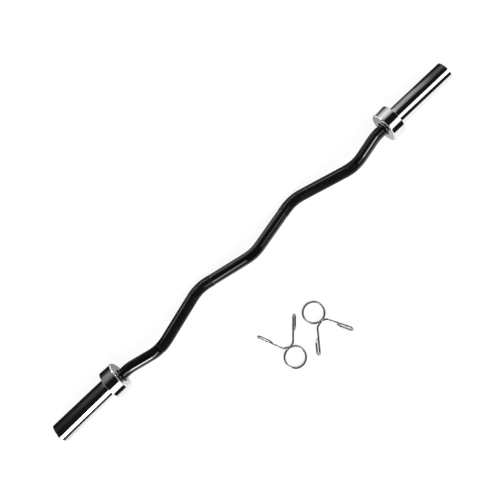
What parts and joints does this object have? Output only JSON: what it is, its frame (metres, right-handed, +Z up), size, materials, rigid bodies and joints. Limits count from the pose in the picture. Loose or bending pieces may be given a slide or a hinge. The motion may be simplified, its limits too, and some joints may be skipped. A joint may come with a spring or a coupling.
{
  "type": "ez curl bar",
  "caption": "Zigzag curl bar for weight training: black bent shaft with knurled grips, turning chrome sleeves with collars, and spring clips that keep plates on.",
  "frame": {"origin": "middle of the bar, on the axis that both sleeves turn about", "axes": "+X along the bar to the right sleeve, +Y to the side that the inner bends lean to, +Z up"},
  "size_m": [1.244, 0.3412, 0.078],
  "materials": {
    "shaft_coat": "gloss black",
    "sleeve_chrome": "polished",
    "collar_chrome": "polished",
    "seal_rubber": "matte",
    "bush_bronze": "machined",
    "washer_steel": "machined",
    "bolt_steel": "zinc plated",
    "cap_chrome": "polished",
    "ring_steel": "oiled spring steel",
    "clip_steel": "bright drawn spring steel"
  },
  "bodies": {
    "bar": {"bent_shaft": "shaft_coat", "left_thrust_washer": "washer_steel", "left_end_washer": "washer_steel", "left_lock_washer": "bolt_steel", "left_end_bolt": "bolt_steel", "right_thrust_washer": "washer_steel", "right_end_washer": "washer_steel", "right_lock_washer": "bolt_steel", "right_end_bolt": "bolt_steel"},
    "left_sleeve": {"left_sleeve_tube": "sleeve_chrome", "left_plate_collar": "collar_chrome", "left_dust_seal": "seal_rubber", "left_inner_bush": "bush_bronze", "left_outer_bush": "bush_bronze", "left_end_cap": "cap_chrome", "left_snap_ring": "ring_steel"},
    "right_sleeve": {"right_sleeve_tube": "sleeve_chrome", "right_plate_collar": "collar_chrome", "right_dust_seal": "seal_rubber", "right_inner_bush": "bush_bronze", "right_outer_bush": "bush_bronze", "right_end_cap": "cap_chrome", "right_snap_ring": "ring_steel"},
    "clip_a": {"clip_a_coil": "clip_steel", "clip_a_lower_arm": "clip_steel"},
    "clip_a_lever": {"clip_a_upper_arm": "clip_steel"},
    "clip_b": {"clip_b_coil": "clip_steel", "clip_b_lower_arm": "clip_steel"},
    "clip_b_lever": {"clip_b_upper_arm": "clip_steel"}
  },
  "joints": [
    {"name": "left_sleeve_spin", "type": "hinge", "parent": "bar", "child": "left_sleeve", "pos_m": [0, 0, 0], "axis": [1, 0, 0], "continuous": true},
    {"name": "right_sleeve_spin", "type": "hinge", "parent": "bar", "child": "right_sleeve", "pos_m": [0, 0, 0], "axis": [1, 0, 0], "continuous": true},
    {"name": "clip_a_lift", "type": "slide", "parent": "bar", "child": "clip_a", "axis": [0, 0, 1], "range_m": [0, 0.2]},
    {"name": "clip_a_squeeze", "type": "hinge", "parent": "clip_a", "child": "clip_a_lever", "pos_m": [-0.098, -0.2535, 0], "axis": [0, 0, 1], "range_deg": [0, 45], "stiffness_Nm_per_rad": 17, "deforming": ["clip_a_coil"]},
    {"name": "clip_b_lift", "type": "slide", "parent": "bar", "child": "clip_b", "axis": [0, 0, 1], "range_m": [0, 0.2]},
    {"name": "clip_b_squeeze", "type": "hinge", "parent": "clip_b", "child": "clip_b_lever", "pos_m": [0.007, -0.206, 0], "axis": [0, 0, 1], "range_deg": [0, 45], "stiffness_Nm_per_rad": 17, "deforming": ["clip_b_coil"]}
  ]
}
